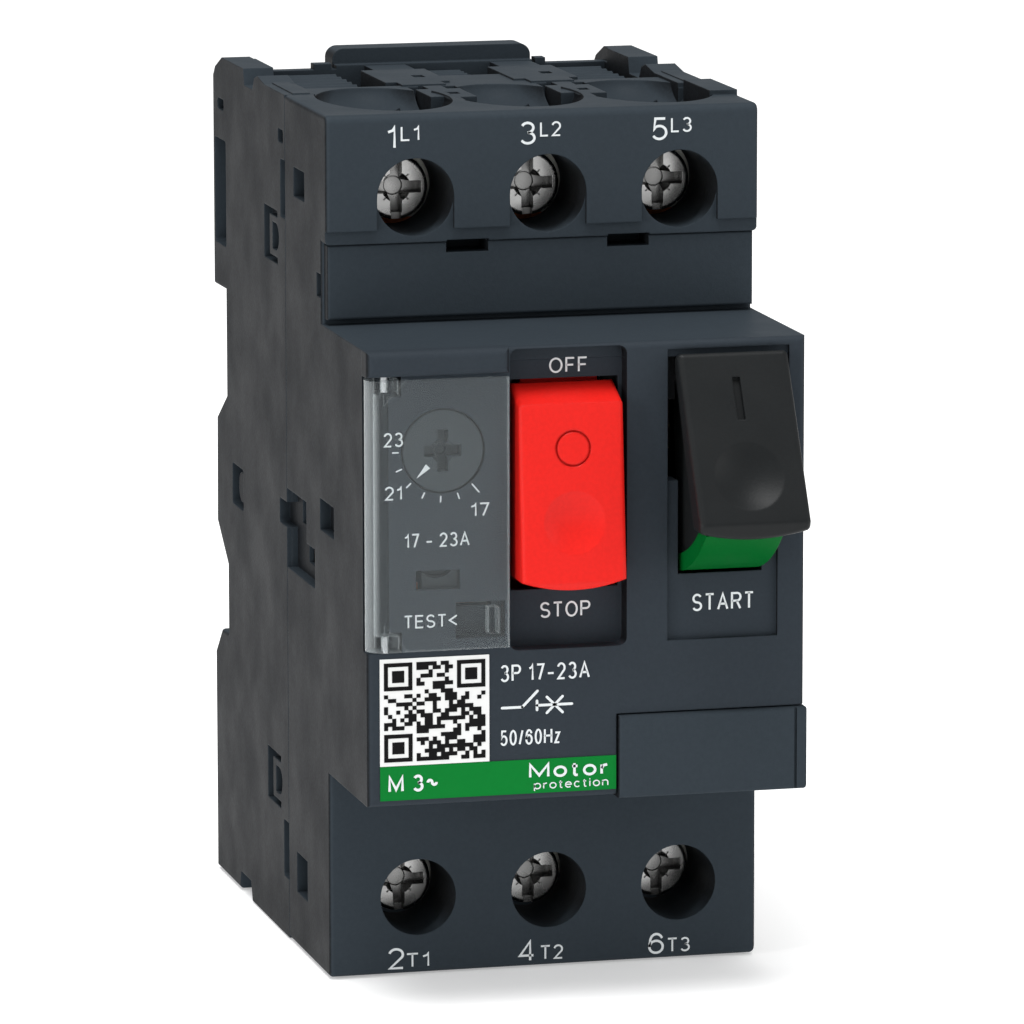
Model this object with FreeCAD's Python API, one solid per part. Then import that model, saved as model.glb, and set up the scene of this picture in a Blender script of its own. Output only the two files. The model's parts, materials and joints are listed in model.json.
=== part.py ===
import FreeCAD, Part
import math
import os

# Three-pole motor protection breaker, in millimetres.
# Shapes are drawn in the case frame: X from the left side, Y back from the terminal
# face, Z up from the bottom. save() moves them so that the origin is the centre of the
# seat for the 35 mm mounting rail, with +Z up and -Y towards the operator.

V = FreeCAD.Vector

# Case
WIDTH = 44.5
HEIGHT = 87.4
NOSE_Y = -17.25
NOSE_LOW = 21.1
NOSE_HIGH = 66.3
FASCIA_BACK = -16.4
SEAM_Y = 18.6
REAR_UPPER = 53.8
REAR_LOWER = 54.4
WALL = 1.6
EDGE = 0.45
CLEAR = 0.3
SEAT_Y = 47.9
SEAT_Z = 44.85

# Poles
POLE_PITCH = 13.6
POLE_X = [9.15 + POLE_PITCH * pole for pole in range(3)]
SPLIT_X = [(POLE_X[0] + POLE_X[1]) / 2, (POLE_X[1] + POLE_X[2]) / 2]
SPLIT_WALL = 1.3

# Terminals
LINE_Z = 79.0
LOAD_Z = 7.9
WELL_TOP = 82.75
ENTRY_X = 3.5
ENTRY_Y = (10.7, 21.7)
BOWL = (6.7, 11.3, 4.2)
BOWL_Y = 14.0
SCREW_HOLE_R = 3.94
HEAD_Y = 8.5
HEAD_R = 3.3
HEAD_LENGTH = 2.6
SHANK_R = 1.75
SHANK_END = 21.0
WASHER = 1.2
PLATE_Y = 15.6
PLATE = 1.4
STRIP_FACE = 0.8
STRIP_Z = (66.9, 74.35)

# Controls: axes of the two rocking buttons and of the hinged window
START_AXIS = (-12.4, 62.0)
START_X = (31.0, 42.28)
START_ARC = 19.2
STOP_AXIS = (-11.5, 61.5)
STOP_X = (15.0, 25.6)
STOP_SLOT_Z = (41.8, 62.8)
PIN_R = 0.9
COVER_PIN_R = 0.35
PIN_FIT = 0.06
LATCH_AXIS = (6.0, 57.0)
LINK_AXIS = (16.8, 61.5)
LEVER_AXIS = (-7.0, 50.2)
LEVER_PIN_R = 0.7
COVER_AXIS = (1.85, -16.8)
COVER_R = 1.95
COVER_SHEET = 0.85
COVER_Z = (36.75, 63.6)
COVER_RIGHT = 14.0
DIAL_X = 7.65
DIAL_Z = 56.35
DIAL_R = 4.1

# Contact system
CONTACT_Y = 38.4
BRIDGE_Y = 33.6
LINE_CONTACT_Z = 61.5
LOAD_CONTACT_Z = 43.5
COIL_Z = 25.6
COIL_Y = (26.2, 37.8)
CONTACT_R = 1.7


def block(x, y, z):
    return Part.makeBox(x[1] - x[0], y[1] - y[0], z[1] - z[0], V(x[0], y[0], z[0]))


def rod_x(y, z, radius, x):
    return Part.makeCylinder(radius, x[1] - x[0], V(x[0], y, z), V(1, 0, 0))


def rod_y(x, z, radius, y):
    return Part.makeCylinder(radius, y[1] - y[0], V(x, y[0], z), V(0, 1, 0))


def rod_z(x, y, radius, z):
    return Part.makeCylinder(radius, z[1] - z[0], V(x, y, z[0]), V(0, 0, 1))


def prism(points, reach):
    wire = Part.makePolygon(points + [points[0]])
    return Part.Face(wire).extrude(reach)


def side_prism(outline, x):
    return prism([V(x[0], y, z) for y, z in outline], V(x[1] - x[0], 0, 0))


def top_prism(outline, z):
    return prism([V(x, y, z[0]) for x, y in outline], V(0, 0, z[1] - z[0]))


def union(shapes):
    return shapes[0].fuse(shapes[1:]).removeSplitter()


def cut(shape, tools):
    return shape.cut(tools)


def spread(centre, half):
    return (centre - half, centre + half)


def soften(shape, radius, wanted):
    edges = [edge for edge in shape.Edges if wanted(edge.BoundBox)]
    return shape.makeFillet(radius, edges)


def spans_x(box):
    return box.YLength < 0.01 and box.ZLength < 0.01


def spans_y(box):
    return box.XLength < 0.01 and box.ZLength < 0.01


def on_side(box):
    flat = box.XLength < 0.01
    return flat and (abs(box.XMin) < 0.01 or abs(box.XMin - WIDTH) < 0.01)


def coil_spring(centre, direction, length, radius, wire, turns):
    helix = Part.makeHelix(length / turns, length, radius)
    ring = Part.Wire(Part.makeCircle(wire, V(radius, 0, 0), V(0, 1, 0)))
    spring = Part.Wire(helix).makePipeShell([ring], True, True)
    if direction == "y":
        spring.rotate(V(0, 0, 0), V(1, 0, 0), -90)
    spring.translate(V(*centre))
    return spring


# Case mouldings

def front_block():
    outline = [(0, 0), (SEAM_Y, 0), (SEAM_Y, HEIGHT), (0, HEIGHT), (0, 74.45), (2.3, 74.45),
               (2.3, NOSE_HIGH), (FASCIA_BACK, NOSE_HIGH), (FASCIA_BACK, NOSE_LOW), (0, NOSE_LOW)]
    body = side_prism(outline, (0, WIDTH))
    body = soften(body, 0.8, lambda box: spans_x(box) and abs(box.YMin) < 0.01
                  and (box.ZMin < 1 or box.ZMin > HEIGHT - 1))
    return soften(body, EDGE, lambda box: on_side(box) and box.YMax < SEAM_Y - 0.01
                  and (abs(box.YMin) < 1.0 or box.ZMin > 66) and box.YMin > -10)


def front_cavities():
    inside = (WALL, WIDTH - WALL)
    return [block(inside, (FASCIA_BACK - 1, SEAM_Y + 1), (NOSE_LOW + WALL, NOSE_HIGH - WALL)),
            block(inside, (4.0, SEAM_Y + 1), (18.0, 71.0))]


def entry_hole(x):
    return block(spread(x, ENTRY_X), ENTRY_Y, (WELL_TOP - 1, HEIGHT + 3))


def entry_bowl(x):
    scale = FreeCAD.Matrix()
    scale.scale(*BOWL)
    bowl = Part.makeSphere(1.0).transformGeometry(scale)
    bowl.translate(V(x, BOWL_Y, HEIGHT + 0.1))
    return bowl


def line_wells():
    tools = [block((-1, WIDTH + 1), (-1, 0.5), (74.0, 75.8))]
    for x in POLE_X:
        tools.append(rod_y(x, LINE_Z, SCREW_HOLE_R, (-1, 11)))
        tools.append(block(spread(x, SCREW_HOLE_R), (-1, 0.5), (74.0, LINE_Z)))
        tools.append(block(spread(x, 5.0), (10.6, SEAM_Y + 1), (73.2, WELL_TOP)))
        tools += [entry_hole(x), entry_bowl(x)]
        tools.append(block(spread(x, 4.2), (15.3, SEAM_Y + 1), (70.0, 74.0)))
    return tools


def load_wells():
    tools = []
    for x in POLE_X:
        tools.append(rod_y(x, LOAD_Z, SCREW_HOLE_R - 0.04, (-1, 11)))
        tools.append(block(spread(x, 5.0), (10.6, SEAM_Y + 1), (-1, 14.6)))
        tools.append(block(spread(x, 4.2), (15.3, SEAM_Y + 1), (14.0, 18.5)))
    return tools


def cover_groove():
    sweep = rod_z(COVER_AXIS[0], COVER_AXIS[1], COVER_R + CLEAR, (COVER_Z[0] - CLEAR, COVER_Z[1] + CLEAR))
    beside = block((-2, 2.15), (-20, -13), (30, 70))
    behind = block((2.1, 3.65), (COVER_AXIS[1], -13), (30, 70))
    return sweep.common(beside.fuse(behind))


def aux_opening():
    return block((25.2, WIDTH + 1), (NOSE_Y - 1, -9.8), (NOSE_LOW - 1, 29.3))


def front_side_windows():
    depth = 1.1
    windows = [((9.7, 14.7), (77.6, 80.6)), ((10.1, 15.0), (5.7, 9.9)), ((2.6, 4.4), (68.9, 71.3)),
               ((-2.8, 3.4), (45.4, 48.6)), ((9.7, 18.7), (43.8, 47.1)), ((5.9, 18.7), (38.9, 42.9)),
               ((9.7, 18.7), (42.8, 43.9))]
    tools = []
    for y, z in windows:
        tools.append(block((-1, depth), y, z))
        tools.append(block((WIDTH - depth, WIDTH + 1), y, z))
    tools.append(block((-1, WIDTH + 1), (9.7, 16.2), (43.9, 47.1)))
    tools.append(block((-1, WIDTH + 1), (9.7, 13.3), (40.3, 44.0)))
    return tools


def front_housing():
    tools = front_cavities() + line_wells() + load_wells() + front_side_windows()
    tools += [cover_groove(), aux_opening(), cover_pins(), stop_pan()]
    tools += [block((x, x + 4.33), (-1, 4.5), (73.3, 74.6)) for x in (12.43, 29.02)]
    body = cut(front_block(), tools)
    shelf = block((26.0, WIDTH - WALL), (-9.5, 0), (NOSE_LOW + WALL - 0.1, 30.0))
    ledge = block((25.2, WIDTH), (-9.8, -8.6), (NOSE_LOW, 31.0))
    roof = block((25.2, WIDTH - 0.5), (FASCIA_BACK + 3.2, -8.6), (29.5, 30.7))
    pads = [block((41.6, WIDTH), (7.8, 17.7), (HEIGHT - 2, HEIGHT + 0.45))]
    castles = [top_prism([(x - 0.2, 11.6), (x + 1.2, 11.6), (x + 1.2, 14.2), (x + 3.0, 14.2), (x + 3.0, 21.6),
                          (x + 1.7, 21.6), (x + 1.7, 24.4), (x - 0.2, 24.4), (x - 0.2, 21.6),
                          (x - 1.6, 21.6), (x - 1.6, 15.0), (x - 0.2, 15.0)], (83.0, HEIGHT - 0.2))
               for x in SPLIT_X]
    castles = [cut(castle, [block((x + 0.9, x + 2.0), (17.0, 18.6), (85.6, HEIGHT + 1))])
               for castle, x in zip(castles, SPLIT_X)]
    inner = cut(shelf, [block((27.0, WIDTH - WALL - 1), (-12, -1.2), (NOSE_LOW, 29.0))])
    return union([body, ledge, roof, inner] + pads + castles)


def rear_outline():
    return [(SEAM_Y, 0), (36.7, 0), (37.4, 2.0), (42.2, 2.0), (42.9, 0), (REAR_LOWER, 0), (REAR_LOWER, 23.7),
            (51.3, 26.5), (SEAT_Y, 26.7), (SEAT_Y, 34.0), (53.2, 37.9), (52.9, 49.3), (SEAT_Y, 52.3),
            (SEAT_Y, 63.4), (REAR_UPPER, 63.3), (REAR_UPPER, 85.2), (52.4, 86.6), (49.0, 87.9), (38.4, 87.9),
            (37.9, 86.2), (34.0, 86.2), (33.0, 87.5), (31.5, 87.9), (28.0, HEIGHT), (SEAM_Y, HEIGHT)]


def chamber_x(pole):
    low = WALL if pole == 0 else SPLIT_X[pole - 1] + SPLIT_WALL / 2
    high = WIDTH - WALL if pole == 2 else SPLIT_X[pole] - SPLIT_WALL / 2
    return (low, high)


def rear_cavities():
    tools = [block(chamber_x(pole), (SEAM_Y - 1, 46.0), (12.0, 72.0)) for pole in range(3)]
    tools.append(block((3.0, WIDTH - 3.0), (45.0, 51.2), (38.9, 48.6)))
    tools.append(block((2.0, WIDTH - 2.0), (23.4, 36.6), (48.0, 57.0)))
    return tools


def top_pocket():
    open_top = block((3.2, 41.3), (SEAM_Y - 1, 48.0), (77.0, 92))
    behind = [block((3.0, 12.0), (49.6, 56), (63.0, 92)), block((33.5, 41.5), (49.6, 56), (63.0, 92))]
    low_edge = block((12.0, 33.5), (50.0, 56), (86.8, 92))
    trims = [block((3.0, 9.7), (47.0, 52), (86.4, 92)), block((11.6, 12.1), (47.0, 52), (86.4, 92)),
             block((33.4, 33.7), (47.0, 52), (86.4, 92)), block((34.8, 41.5), (47.0, 52), (86.4, 92)),
             block((12.0, 33.5), (47.0, 50.0), (86.8, 92)), block((9.6, 34.9), (47.0, 52), (87.0, 92))]
    return [open_top, low_edge] + behind + trims


def top_webs():
    webs = []
    for x in SPLIT_X:
        head = block((x - 3.4, x + 3.4), (27.4, 38.6), (76.5, HEIGHT - 0.1))
        tail = block((x - 0.8, x + 3.6), (38.0, 48.2), (76.5, HEIGHT - 0.7))
        neck = block((x - 2.2, x + 2.4), (25.0, 27.6), (76.5, HEIGHT - 0.1))
        webs += [cut(head, [block((x + 0.6, x + 1.8), (31.2, 33.1), (86.0, 92))]), tail, neck]
    return webs


def top_bars():
    ranges = [(3.1, SPLIT_X[0] - 3.3), (SPLIT_X[0] + 3.3, SPLIT_X[1] - 3.3), (SPLIT_X[1] + 3.3, 41.4)]
    depths = [(25.4, 27.2), (33.0, 34.4), (26.0, 27.6)]
    bars = []
    for x, y in zip(ranges, depths):
        bars.append(block(x, y, (76.5, HEIGHT - 0.5)))
        bars.append(side_prism([(y[1], 76.8), (48.2, 76.8), (48.2, 84.6), (y[1], 82.6)], x))
        ribs = 8
        pitch = (46.5 - y[1]) / ribs
        for rib in range(ribs):
            start = y[1] + 0.5 + pitch * rib
            bars.append(side_prism([(start, 80), (start + pitch * 0.35, 80), (start + pitch * 0.35, 86.2),
                                    (start, 85.9)], (x[0], x[1] - 1.2)))
    return bars


def top_scoops():
    scoops = []
    ends = [26.0, 33.6, 26.6]
    for pole, x in enumerate(POLE_X):
        low = 3.1 if pole == 0 else SPLIT_X[pole - 1] + 0.6
        high = 41.4 if pole == 2 else SPLIT_X[pole] - 0.6
        floor = block((low, high), (SEAM_Y, ends[pole]), (73.2, HEIGHT - 0.3))
        well = block(spread(x, 4.4), (SEAM_Y - 1, 23.6), (73.2, WELL_TOP))
        scoops.append(cut(floor, [entry_bowl(x), entry_hole(x), well]))
    return scoops


def rear_side_windows():
    windows = [((48.2, 51.3), (82.3, 83.5)), ((19.5, 21.9), (82.3, 83.7)), ((47.3, 52.8), (68.0, 79.2)),
               ((18.0, 20.9), (74.7, 80.7)), ((18.0, 21.1), (6.1, 12.1)), ((39.7, 45.1), (41.1, 45.5)),
               ((16.0, 22.1), (43.0, 45.6))]
    tools = []
    for y, z in windows:
        depth = 2.2 if y[1] > 52 else 1.1
        tools.append(soften(block((-1, depth), y, z), 0.4, spans_x))
        tools.append(soften(block((WIDTH - depth, WIDTH + 1), y, z), 0.4, spans_x))
    for z in (69.6, 12.9):
        frame = block((-1, 0.9), (22.3, 28.6), (z, z + 5.5))
        island = block((-1, 0.9), (22.2, 26.0), (z + 0.7, z + 4.8))
        slot = block((-1, 1.3), (23.1, 24.7), (z + 1.35, z + 4.15))
        slot = slot.fuse(rod_x(23.1, z + 2.75, 1.4, (-1, 1.3)))
        opening = cut(frame, [island]).fuse(slot)
        tools.append(opening)
        tools.append(opening.mirror(V(WIDTH / 2, 0, 0), V(1, 0, 0)))
    return tools


def rail_channel():
    return [block((13.7, 30.8), (49.0, 52.5), (-1, 27.5)), block((17.4, 27.1), (47.0, 49.2), (8.0, 24.0)),
            block((19.0, 25.5), (52.0, 56), (-1, 5.0))]


def rear_housing():
    body = side_prism(rear_outline(), (0, WIDTH))
    body = soften(body, EDGE, lambda box: on_side(box) and box.YMin > SEAM_Y + 0.01 and box.ZMin < 85
                  and not (box.YMin > 36 and box.YMax < 43))
    groove = cut(block((-1, WIDTH + 1), (SEAM_Y - 0.5, SEAM_Y + 0.18), (-1, 92)),
                 [block((0.5, WIDTH - 0.5), (0, 40), (0.5, HEIGHT - 0.5))])
    tools = rear_cavities() + top_pocket() + rear_side_windows() + rail_channel() + [groove]
    for x in POLE_X:
        tools.append(block(spread(x, 4.2), (SEAM_Y - 1, 23.4), (-1, 10.2)))
        tools.append(block(spread(x, 4.0), (SEAM_Y - 1, 23.4), (73.2, 82)))
    body = cut(body, tools)
    plate = block((12.0, 33.5), (49.4, 54.0), (61.0, 88.4))
    plate = soften(plate, 1.2, lambda box: box.YMin > 53.9 or (spans_y(box) and box.ZMin > 88))
    plate = cut(plate, [block((10, 36), (47, 49.7), (60, 63.4))])
    axle = rod_x(41.9, 43.3, 1.6, (0.35, WIDTH - 0.35)).common(
        union([block((0, 1.4), (38, 46), (40, 47)), block((WIDTH - 1.4, WIDTH), (38, 46), (40, 47))]))
    stud = block((20.2, 24.3), (49.6, 52.6), (12.6, 14.2))
    ears = []
    for x in ((0.0, 3.2), (41.3, WIDTH)):
        ears.append(block((x[0] + 0.9, x[1] - 0.5), (SEAM_Y + 0.3, 30.0), (HEIGHT - 1, HEIGHT + 0.12)))
    parts = [body, plate, axle, stud] + top_webs() + top_bars() + top_scoops() + ears
    keep_out = [block((-1, WIDTH + 1), (0, SEAM_Y), (-5, 95))]
    for x in SPLIT_X:
        keep_out.append(block((x - 1.8, x + 3.2), (0, 24.6), (79.8, 95)))
    return cut(union(parts), keep_out)


def stop_pan():
    pan = block((14.4, 26.25), (-20, -15.2), (36.15, 66.05))
    return soften(pan, 0.8, spans_y)


def front_fascia():
    plate = block((0, WIDTH), (NOSE_Y, FASCIA_BACK), (NOSE_LOW, NOSE_HIGH))
    plate = soften(plate, 0.6, lambda box: box.YMax < FASCIA_BACK - 0.1)
    inner = block((WALL, WIDTH - WALL), (FASCIA_BACK - 0.1, -14.2), (NOSE_LOW + WALL, NOSE_HIGH - WALL))
    hood = block((-0.3, 14.0), (-18.95, NOSE_Y + 0.3), (64.0, 66.5))
    hood = soften(hood, 0.7, lambda box: box.YMax < -18.5)
    side = block((-0.3, 0.3), (NOSE_Y, FASCIA_BACK), (64.0, 66.5))
    body = union([plate, inner, hood, side])
    stop_slot = block((14.75, 25.85), (-21, -13), STOP_SLOT_Z)
    start_pan = block((30.4, 41.7), (-20, NOSE_Y + 0.5), (36.4, 65.5))
    upper_slot = block((30.4, 40.2), (-21, -13), (52.3, 64.7))
    lower_slot = block((31.6, 40.2), (-21, -13), (42.95, 52.4))
    relief = block((31.6, 40.2), (FASCIA_BACK, -13), (42.1, 52.4))
    dial_hole = rod_y(DIAL_X, DIAL_Z, DIAL_R + 0.12, (-20, -13))
    dial_pit = rod_y(DIAL_X, DIAL_Z, DIAL_R + 1.0, (-14.4, -13))
    test_slot = block((4.9, 9.3), (-20, -13), (42.6, 44.5))
    test_bed = block((3.7, 12.8), (-16.4, -13), (40.6, 46.6))
    latch_pit = block((8.9, 13.85), (-20, -15.7), (37.6, 41.2))
    start_side = block((41.0, 42.8), (-20, NOSE_Y + 0.5), (54.0, 65.5))
    tools = [stop_pan(), stop_slot, start_pan, upper_slot, lower_slot, relief, dial_hole, dial_pit,
             test_slot, test_bed, latch_pit, start_side, cover_groove(), aux_opening()]
    tools.append(rod_z(COVER_AXIS[0], COVER_AXIS[1], COVER_PIN_R, (62.0, 65.2)))
    tools.append(rod_z(COVER_AXIS[0], COVER_AXIS[1], COVER_PIN_R, (35.2, 38.4)))
    knuckle_gap = [rod_z(COVER_AXIS[0], COVER_AXIS[1], 1.65, (61.9, COVER_Z[1] + CLEAR)),
                   rod_z(COVER_AXIS[0], COVER_AXIS[1], 1.65, (COVER_Z[0] - CLEAR, 38.5))]
    return cut(body, tools + knuckle_gap)


def marker_strip():
    strip = block((0.3, WIDTH - 0.3), (STRIP_FACE, 2.3), STRIP_Z)
    strip = soften(strip, 0.25, lambda box: box.YMax < STRIP_FACE + 0.1)
    notches = [block((x, x + 4.33), (0, 3), (73.3, 75)) for x in (12.43, 29.02)]
    return cut(strip, notches)


def aux_blanking_cover():
    outer = block((25.35, 44.75), (-17.65, -10.0), (20.8, 29.15))
    outer = soften(outer, 0.35, lambda box: box.YMax < -17.5 or (spans_y(box) and box.XMin > 44))
    hollow = block((24.0, 43.4), (-16.45, -9.0), (22.0, 30.0))
    groove = block((43.4, 43.65), (-18, -17.45), (20, 30))
    return cut(outer, [hollow, groove])


def code_label():
    return block((1.2, 12.24), (NOSE_Y - 0.1, NOSE_Y), (25.2, 35.9))


def band_label():
    return block((1.2, 25.15), (NOSE_Y - 0.1, NOSE_Y), (21.75, 25.15))


# Controls

def wedge(axis, first, last, radius, x):
    reach = radius * 1.3
    corners = [axis]
    for angle in (first, (first + last) / 2, last):
        turn = math.radians(angle)
        corners.append((axis[0] + reach * math.cos(turn), axis[1] + reach * math.sin(turn)))
    return side_prism(corners, x).common(rod_x(axis[0], axis[1], radius, x))


def ring_sector(axis, radii, angles, x):
    inner = rod_x(axis[0], axis[1], radii[0], (x[0] - 1, x[1] + 1))
    return cut(wedge(axis, angles[0], angles[1], radii[1], x), [inner])


def start_button():
    outline = [(-18.6, 65.2), (-27.35, 49.5), (-26.7, 47.6), (-24.6, 48.1), (-17.6, 62.5), (-17.7, 65.0)]
    plate = side_prism(outline, START_X)
    bow = rod_y((START_X[0] + START_X[1]) / 2, 67.85, 20.0, (-30, -15))
    plate = plate.common(bow)
    plate = soften(plate, 0.55, lambda box: box.YMin < -18.0 and box.YMax < -17.55
                   and (on_edge(box, START_X) or box.XLength > 9))
    dish = Part.makeSphere(8.54, V(36.55, -31.73, 57.63))
    mark = block((36.2, 37.0), (-0.5, 0.45), (-1.0, 3.45))
    mark.rotate(V(0, 0, 0), V(1, 0, 0), -29.1)
    mark.translate(V(0, -21.55, 59.9))
    lever = wedge(START_AXIS, 222, 262, START_ARC - 1.7, (32.2, 39.6))
    lever = lever.fuse(side_prism([START_AXIS, (-17.5, 63.9), (-25.5, 49.6), (-18, 50)], (32.2, 39.6)))
    outside = [(-30, 70), (-17.2, 66.5), (-18.2, 64.9), (-26.9, 49.3), (-30, 49)]
    lever = cut(lever, [side_prism(outside, (30, 44))])
    hub = rod_x(START_AXIS[0], START_AXIS[1], 2.3, (32.2, 39.6))
    body = union([plate, lever, hub]).cut([dish, mark, start_flag()])
    return cut(body, [rod_x(START_AXIS[0], START_AXIS[1], PIN_R + PIN_FIT, (30, 44))])


def on_edge(box, x):
    return box.XLength < 0.01 and (abs(box.XMin - x[0]) < 0.01 or abs(box.XMin - x[1]) < 0.01)


def start_flag():
    return ring_sector(START_AXIS, (START_ARC - 1.7, START_ARC), (226, 263), (31.95, 39.85))


def start_pin():
    return rod_x(START_AXIS[0], START_AXIS[1], PIN_R, (30.2, WIDTH - WALL))


def stop_button():
    outline = [(-14.4, 62.3), (-14.8, 62.3), (-18.4, 60.7), (-19.98, 43.1), (-19.6, 42.3), (-15.3, 42.2),
               (-14.4, 42.4)]
    body = side_prism(outline, STOP_X)
    body = soften(body, 0.5, lambda box: box.YMin < -14.9 and on_edge(box, STOP_X) and box.YMax < -13.5)
    bow = rod_y(20.3, 58.35, 16.0, (-20.1, -10))
    body = body.common(soften(bow, 0.6, lambda box: box.YMax < -20.0))
    dish = Part.makeSphere(8.0, V(20.4, -26.79, 49.66))
    ring = rod_y(0, 0, 1.8, (-1, 0.3)).cut(rod_y(0, 0, 1.6, (-2, 1)))
    ring.rotate(V(0, 0, 0), V(1, 0, 0), -5.1)
    ring.translate(V(20.4, -18.79, 56.3))
    hollow = block((17.0, 23.6), (-16.6, -12), (45.2, 58.0))
    hub = rod_x(STOP_AXIS[0], STOP_AXIS[1], 2.1, (16.4, 24.2))
    neck = block((16.4, 24.2), (-15.0, -11.5), (59.8, 61.9))
    body = union([cut(body, [dish, ring, hollow]), hub, neck])
    return cut(body, [rod_x(STOP_AXIS[0], STOP_AXIS[1], PIN_R + PIN_FIT, (14, 27))])


def stop_pin():
    return rod_x(STOP_AXIS[0], STOP_AXIS[1], PIN_R, (14.2, 26.4))


def pin_posts(axis, x):
    posts = []
    for low in x:
        post = block((low, low + 1.4), (axis[0] - 1.6, axis[0] + 12.0), (axis[1] - 2.0, axis[1] + 2.6))
        posts.append(cut(post, [rod_x(axis[0], axis[1], PIN_R, (low - 1, low + 3))]))
    return posts


def mechanism_frame():
    posts = pin_posts(STOP_AXIS, (14.3, 24.9)) + pin_posts(START_AXIS, (30.6, 40.2))
    bridge = block((14.3, 41.6), (-1.4, 0.0), (59.5, 64.6)).cut(block((32.9, 38.3), (-2, 1), (59, 63.2)))
    cheeks = [block((x, x + 1.0), (0.0, 16.0), (50.0, 64.0)) for x in (14.3, 28.4)]
    floor = block((14.3, 29.4), (0.0, 16.0), (63.2, 64.0))
    return union([bridge, floor] + posts + cheeks)


def setting_dial():
    head = rod_y(DIAL_X, DIAL_Z, DIAL_R, (NOSE_Y + 0.1, -14.0))
    flange = rod_y(DIAL_X, DIAL_Z, DIAL_R + 0.7, (-14.1, -13.0))
    shaft = rod_y(DIAL_X, DIAL_Z, 1.5, (-13.7, -8.4))
    cam = rod_y(DIAL_X + 0.8, DIAL_Z, 2.1, (-11.6, -9.6))
    arms = [block(spread(DIAL_X, 0.55), (-20, -15.9), spread(DIAL_Z, 2.05)),
            block(spread(DIAL_X, 1.85), (-20, -15.9), spread(DIAL_Z, 0.55)),
            Part.makeCone(1.25, 0.5, 1.6, V(DIAL_X, NOSE_Y, DIAL_Z), V(0, 1, 0))]
    head = soften(head, 0.2, lambda box: box.YMax < NOSE_Y + 0.2)
    return cut(union([head, flange, shaft, cam]), arms)


def compensation_lever():
    arm = block((3.0, 12.2), (-7.6, -6.4), (50.2, 61.0))
    hub = rod_x(LEVER_AXIS[0], LEVER_AXIS[1], 1.5, (3.0, 12.2))
    finger = block((6.5, 9.0), (-7.6, -6.4), (46.8, 51.0))
    body = union([arm, hub, finger])
    return cut(body, [rod_x(LEVER_AXIS[0], LEVER_AXIS[1], LEVER_PIN_R + PIN_FIT, (2, 14))])


def compensation_pin():
    return rod_x(LEVER_AXIS[0], LEVER_AXIS[1], LEVER_PIN_R, (WALL, 13.4))


def test_slider():
    plate = block((5.7, 12.5), (-16.2, -14.6), (41.1, 46.1))
    scoop = rod_y(7.2, 45.6, 2.0, (-17, -15.0))
    stem = block((6.3, 8.3), (-14.7, -5.0), (42.4, 44.4))
    return union([cut(plate, [scoop]), stem])


def trip_slide():
    bar = block((4.2, 41.0), (2.6, 4.6), (44.9, 48.0))
    fingers = [block((x + 3.3, x + 4.5), (4.4, 10.0), (45.2, 47.6)) for x in POLE_X]
    lug = block((4.3, 6.0), (-8.4, 2.8), (42.6, 46.0))
    return union([bar, lug] + fingers)


def latch_lever():
    hub = rod_x(LATCH_AXIS[0], LATCH_AXIS[1], 1.8, (17.2, 25.6))
    arm = block((19.2, 23.4), (-6.6, 6.0), (56.2, 57.8))
    tail = block((19.2, 23.4), (5.2, 6.8), (50.4, 57.0))
    return cut(union([hub, arm, tail]), [rod_x(LATCH_AXIS[0], LATCH_AXIS[1], PIN_R + PIN_FIT, (10, 30))])


def latch_pin():
    return rod_x(LATCH_AXIS[0], LATCH_AXIS[1], PIN_R, (15.3, 28.4))


def toggle_link():
    hub = rod_x(LINK_AXIS[0], LINK_AXIS[1], 1.75, (32.4, 38.8))
    arm = side_prism([(16.0, 62.8), (-4.0, 60.2), (-4.0, 58.6), (16.8, 60.4)], (33.6, 37.6))
    push = side_prism([(15.4, 61.0), (18.0, 61.0), (20.0, 54.5), (20.0, 51.8), (18.6, 51.8)], (33.6, 37.6))
    return cut(union([hub, arm, push]), [rod_x(LINK_AXIS[0], LINK_AXIS[1], PIN_R + PIN_FIT, (30, 42))])


def link_pin():
    return rod_x(LINK_AXIS[0], LINK_AXIS[1], PIN_R, (30.4, WIDTH - WALL))


def pivot_pins():
    return Part.makeCompound([start_pin(), stop_pin(), compensation_pin(), latch_pin(), link_pin()])


def transparent_cover():
    axis_x, axis_y = COVER_AXIS
    shell = rod_z(axis_x, axis_y, COVER_R, COVER_Z)
    shell = cut(shell, [rod_z(axis_x, axis_y, COVER_R - COVER_SHEET, (30, 70))])
    reach = block((-3, axis_x), (-20, axis_y + 0.2), (30, 70))
    reach = reach.fuse(block((-3, axis_x - 0.75), (axis_y, axis_y + 1.3), (30, 70)))
    quarter = shell.common(reach)
    front = axis_y - COVER_R
    sheet = block((axis_x - 0.1, COVER_RIGHT), (front, front + COVER_SHEET), COVER_Z)
    sheet = soften(sheet, 0.22, lambda box: box.YMax < front + 0.1 and box.XMax > axis_x + 0.5)
    knuckles = []
    for z in ((62.2, COVER_Z[1]), (COVER_Z[0], 38.2)):
        knuckle = rod_z(axis_x, axis_y, 1.35, z)
        arm = block((axis_x - 1.8, axis_x + 1.2), (axis_y - 1.5, axis_y), z)
        arm = arm.common(rod_z(axis_x, axis_y, COVER_R, z))
        knuckles += [knuckle, arm]
    body = union([quarter, sheet] + knuckles)
    tongue = block((12.1, 13.1), (-18.0, -16.3), (38.1, 40.7))
    back = front + COVER_SHEET
    corners = []
    for z, step in ((COVER_Z[1], -2.5), (COVER_Z[0], 2.5)):
        corners.append(prism([V(1.6, back - 0.1, z), V(3.9, back - 0.1, z), V(1.6, back - 0.1, z + step)],
                             V(0, 0.4, 0)))
    body = union([body, tongue] + corners)
    return cut(body, [rod_z(axis_x, axis_y, COVER_PIN_R + PIN_FIT, (30, 70))])


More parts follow.
